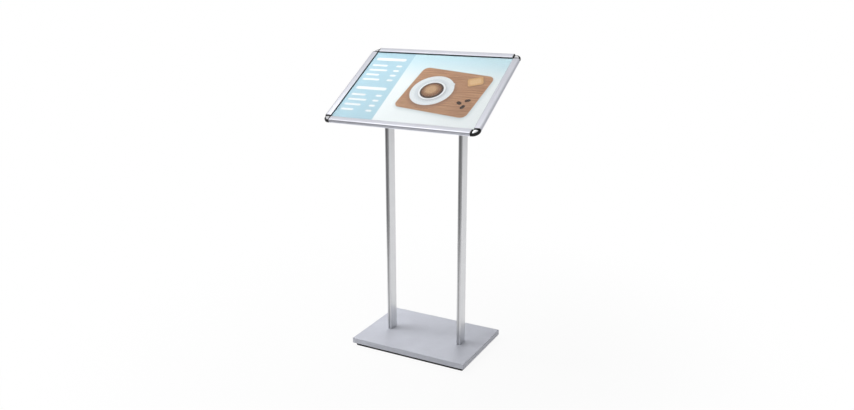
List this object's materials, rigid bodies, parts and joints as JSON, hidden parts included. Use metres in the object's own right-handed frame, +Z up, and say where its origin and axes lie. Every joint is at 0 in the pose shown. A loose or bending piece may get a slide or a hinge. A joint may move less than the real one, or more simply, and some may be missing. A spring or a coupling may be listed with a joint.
{
  "type": "slanted menu and poster stand",
  "caption": "Free-standing slanted menu and poster stand: a landscape snap frame with hinged clip rails and rounded corner caps, carried on slim posts over a weighted base plate.",
  "frame": {"origin": "on the floor under the middle of the base, on the underside of the anti-slip mat", "axes": "+X to the right of a reader, +Y away from the reader, +Z up"},
  "size_m": [0.624, 0.4014, 1.1499],
  "materials": {
    "powder_coat": "fine silver powder coat",
    "black_paint": "satin black paint",
    "mat_rubber": "matt",
    "edge_rubber": "matt black strip",
    "board": "raw fibreboard",
    "anodised": "silver anodised, fine brushed",
    "chromed": "polished chrome",
    "black_plastic": "moulded, matt",
    "white_plastic": "matt white sheet",
    "print": "printed paper",
    "clear_sheet": "clear anti-glare film",
    "zinc_steel": "zinc plated",
    "spring_steel": "blued strip"
  },
  "bodies": {
    "stand": {"anti_slip_mat": "mat_rubber", "back_panel": "white_plastic", "ballast_plate": "black_paint", "base_core": "board", "base_cover": "powder_coat", "bottom_back_rail": "anodised", "bottom_left_corner_cap": "chromed", "bottom_left_corner_joint": "black_plastic", "bottom_rail_springs": "spring_steel", "bottom_right_corner_cap": "chromed", "bottom_right_corner_joint": "black_plastic", "bracket_post_screws": "zinc_steel", "bracket_strap_screws": "zinc_steel", "corner_screws": "zinc_steel", "cover_sheet": "clear_sheet", "left_back_rail": "anodised", "left_carrier_strap": "zinc_steel", "left_head_bracket": "zinc_steel", "left_post": "anodised", "left_rail_springs": "spring_steel", "post_bolts": "zinc_steel", "poster": "print", "rail_nuts": "zinc_steel", "right_back_rail": "anodised", "right_carrier_strap": "zinc_steel", "right_head_bracket": "zinc_steel", "right_post": "anodised", "right_rail_springs": "spring_steel", "strap_rail_screws": "zinc_steel", "top_back_rail": "anodised", "top_left_corner_cap": "chromed", "top_left_corner_joint": "black_plastic", "top_rail_springs": "spring_steel", "top_right_corner_cap": "chromed", "top_right_corner_joint": "black_plastic"},
    "bottom_snap_rail": {"bottom_snap_rail": "anodised", "bottom_edge_seal": "edge_rubber"},
    "right_snap_rail": {"right_snap_rail": "anodised", "right_edge_seal": "edge_rubber"},
    "top_snap_rail": {"top_snap_rail": "anodised", "top_edge_seal": "edge_rubber"},
    "left_snap_rail": {"left_snap_rail": "anodised", "left_edge_seal": "edge_rubber"}
  },
  "joints": [
    {"name": "bottom_rail_hinge", "type": "hinge", "parent": "stand", "child": "bottom_snap_rail", "pos_m": [0, -0.22835, 0.9166], "axis": [1, 0, 0], "range_deg": [0, 90]},
    {"name": "right_rail_hinge", "type": "hinge", "parent": "stand", "child": "right_snap_rail", "pos_m": [0.30942, -0.0377, 1.03115], "axis": [0, 0.8572, 0.515], "range_deg": [0, 90]},
    {"name": "top_rail_hinge", "type": "hinge", "parent": "stand", "child": "top_snap_rail", "pos_m": [0, 0.15295, 1.14571], "axis": [-1, 0, 0], "range_deg": [0, 90]},
    {"name": "left_rail_hinge", "type": "hinge", "parent": "stand", "child": "left_snap_rail", "pos_m": [-0.30942, -0.0377, 1.03115], "axis": [0, -0.8572, -0.515], "range_deg": [0, 90]}
  ]
}
